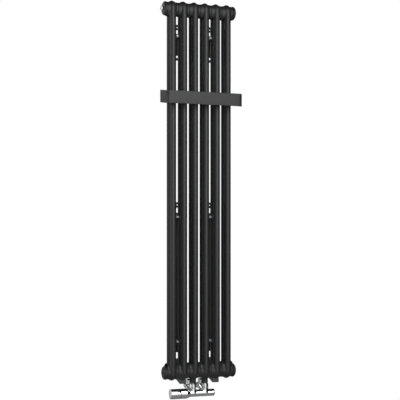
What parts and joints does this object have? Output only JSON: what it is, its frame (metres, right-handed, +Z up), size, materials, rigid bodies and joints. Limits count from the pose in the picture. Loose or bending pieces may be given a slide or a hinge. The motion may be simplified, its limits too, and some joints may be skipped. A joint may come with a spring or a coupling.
{
  "type": "radiator with valve",
  "caption": "Tall narrow two-column tubular wall radiator with a flat towel rail, wall rails and a chrome centre-connection valve with a thermostatic head.",
  "frame": {"origin": "centre of the rectangle of the four wall screws of the two support arms, on the wall face", "axes": "+X to the right seen from the room, -Y out of the wall into the room, +Z up along the columns"},
  "size_m": [0.323, 0.162, 1.566],
  "materials": {
    "black_enamel": "fine-textured matt charcoal-black stove enamel",
    "bracket_black": "satin dark grey powder coat",
    "chrome": "polished chrome plate",
    "brass": "machined brass",
    "zinc_screw": "bright zinc plate",
    "spring_steel": "drawn spring wire",
    "inner_steel": "plain steel sheet",
    "capsule_metal": "turned aluminium",
    "fibre_seal": "flat sealing ring",
    "white_plastic": "moulded white plastic",
    "saddle_plastic": "moulded black plastic"
  },
  "bodies": {
    "radiator": {"front_tube_1": "black_enamel", "front_tube_2": "black_enamel", "front_tube_3": "black_enamel", "front_tube_4": "black_enamel", "front_tube_5": "black_enamel", "front_tube_6": "black_enamel", "rear_tube_1": "black_enamel", "rear_tube_2": "black_enamel", "rear_tube_3": "black_enamel", "rear_tube_4": "black_enamel", "rear_tube_5": "black_enamel", "rear_tube_6": "black_enamel", "top_header_1": "black_enamel", "top_header_2": "black_enamel", "top_header_3": "black_enamel", "top_header_4": "black_enamel", "top_header_5": "black_enamel", "top_header_6": "black_enamel", "bottom_header_1": "black_enamel", "bottom_header_2": "black_enamel", "bottom_header_3": "black_enamel", "bottom_header_4": "black_enamel", "bottom_header_5": "black_enamel", "bottom_header_6": "black_enamel", "connection_bushes": "black_enamel", "vent_plug": "black_enamel", "blanking_plugs": "black_enamel", "towel_rail": "black_enamel", "rail_clamp_plates": "black_enamel", "flow_baffle": "inner_steel", "plug_gaskets": "fibre_seal", "vent_body": "chrome", "union_nuts": "chrome", "valve_body": "chrome", "valve_end_cap": "chrome", "thermostat_collar": "chrome", "supply_arm": "chrome", "return_arm": "chrome", "shutoff_caps": "chrome", "valve_cartridge": "brass", "union_nipples": "brass", "shutoff_bonnets": "brass", "upper_bracket_left": "bracket_black", "upper_bracket_right": "bracket_black", "lower_rail_left": "bracket_black", "lower_rail_right": "bracket_black", "support_arm_left": "bracket_black", "support_arm_right": "bracket_black", "clamp_bars": "bracket_black", "clamp_saddles": "saddle_plastic", "clamp_screws": "zinc_screw", "rail_screws": "zinc_screw", "return_spring": "spring_steel"},
    "knob": {"thermostat_knob": "chrome"},
    "sensor": {"sensor_capsule": "capsule_metal"},
    "spool": {"control_spool": "brass"},
    "supply_shutoff": {"shutoff_plug_supply": "brass"},
    "return_shutoff": {"shutoff_plug_return": "brass"},
    "bleed_screw": {"vent_screw": "brass"},
    "bleed_nozzle": {"vent_nozzle": "white_plastic"}
  },
  "joints": [
    {"name": "thermostat_turn", "type": "hinge", "parent": "radiator", "child": "knob", "pos_m": [-0.1, -0.075, -0.09], "axis": [1, 0, 0], "range_deg": [-135, 135]},
    {"name": "sensor_slide", "type": "slide", "parent": "radiator", "child": "sensor", "axis": [1, 0, 0], "range_m": [-0.0012, 0.0012]},
    {"name": "spool_slide", "type": "slide", "parent": "radiator", "child": "spool", "axis": [1, 0, 0], "range_m": [-0.0012, 0.0012]},
    {"name": "supply_shutoff_turn", "type": "hinge", "parent": "radiator", "child": "supply_shutoff", "pos_m": [-0.025, -0.022, -0.0685], "axis": [0, 0, 1], "range_deg": [0, 90]},
    {"name": "return_shutoff_turn", "type": "hinge", "parent": "radiator", "child": "return_shutoff", "pos_m": [0.025, -0.022, -0.0685], "axis": [0, 0, 1], "range_deg": [0, 90]},
    {"name": "bleed_screw_turn", "type": "hinge", "parent": "radiator", "child": "bleed_screw", "pos_m": [-0.16, -0.075, 1.4245], "axis": [-1, 0, 0], "range_deg": [0, 360]},
    {"name": "bleed_nozzle_turn", "type": "hinge", "parent": "radiator", "child": "bleed_nozzle", "pos_m": [-0.157, -0.075, 1.4245], "axis": [1, 0, 0], "continuous": true}
  ],
  "couplings": [
    {"joint": "sensor_slide", "follows": "thermostat_turn", "m_per_rad": 0.0005},
    {"joint": "spool_slide", "follows": "thermostat_turn", "m_per_rad": 0.0005}
  ]
}
